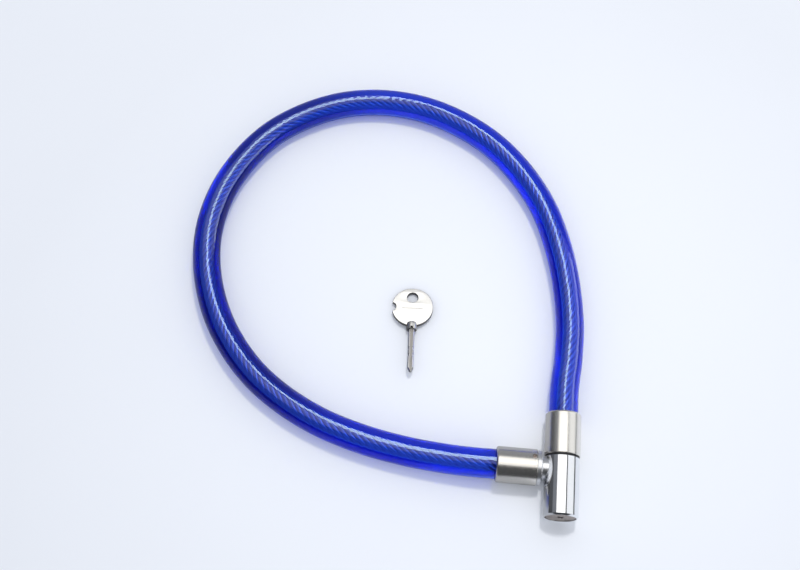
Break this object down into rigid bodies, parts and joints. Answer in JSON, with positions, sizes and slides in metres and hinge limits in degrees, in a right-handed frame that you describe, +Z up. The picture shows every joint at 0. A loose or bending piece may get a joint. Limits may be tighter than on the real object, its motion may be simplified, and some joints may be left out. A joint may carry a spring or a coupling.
{
  "type": "cable lock",
  "caption": "Keyed cable lock: a plastic-covered steel cable loop, a round chrome barrel, a free end whose grooved bolt plugs into the barrel's side, and a loose cross-section key.",
  "frame": {"origin": "on the surface that the lock lies on, under the middle of the lock head and the loose key", "axes": "+Z up; +Y along the barrel's axis, from its key face towards the fixed cable end; +X along the bolt's axis, from the free end into the barrel"},
  "size_m": [0.2305, 0.258, 0.0195],
  "materials": {
    "chrome": "polished chrome plate",
    "nickel": "brushed nickel plate, slightly warm",
    "seal_rubber": "black moulded ring",
    "jacket": "translucent blue PVC",
    "rope_steel": "laid steel wire",
    "nickel_silver": "turned nickel silver, slightly warm",
    "brass": "turned brass",
    "steel": "bare steel",
    "pin_steel": "staked pin, slightly coppery",
    "key_nickel": "nickel plate"
  },
  "bodies": {
    "lock": {"barrel": "chrome", "bolt_socket": "chrome", "seal_ring": "seal_rubber", "fixed_ferrule": "nickel", "fixed_crimp_sleeve": "steel", "cable_jacket": "jacket", "wire_rope": "rope_steel", "cylinder_housing": "nickel_silver", "housing_pin": "steel", "pin_cover": "steel", "driver_pins": "brass", "pin_springs": "steel"},
    "turning_core": {"core": "nickel_silver", "key_pins": "brass", "latch_cam": "steel", "core_clip": "steel"},
    "free_end": {"free_ferrule": "nickel", "free_crimp_sleeve": "steel", "bolt": "chrome", "bolt_pin": "pin_steel"},
    "key": {"key_bow": "key_nickel", "key_blade": "key_nickel"}
  },
  "joints": [
    {"name": "free_end_pull", "type": "slide", "parent": "lock", "child": "free_end", "axis": [-1, 0, 0], "range_m": [0, 0.016], "deforming": ["cable_jacket", "wire_rope"]},
    {"name": "core_turn", "type": "hinge", "parent": "lock", "child": "turning_core", "pos_m": [0.04525, -0.054, 0.00975], "axis": [0, -1, 0], "range_deg": [0, 90]},
    {"name": "key_lift", "type": "slide", "parent": "lock", "child": "key", "axis": [0, 0, 1], "range_m": [0, 0.06]}
  ]
}
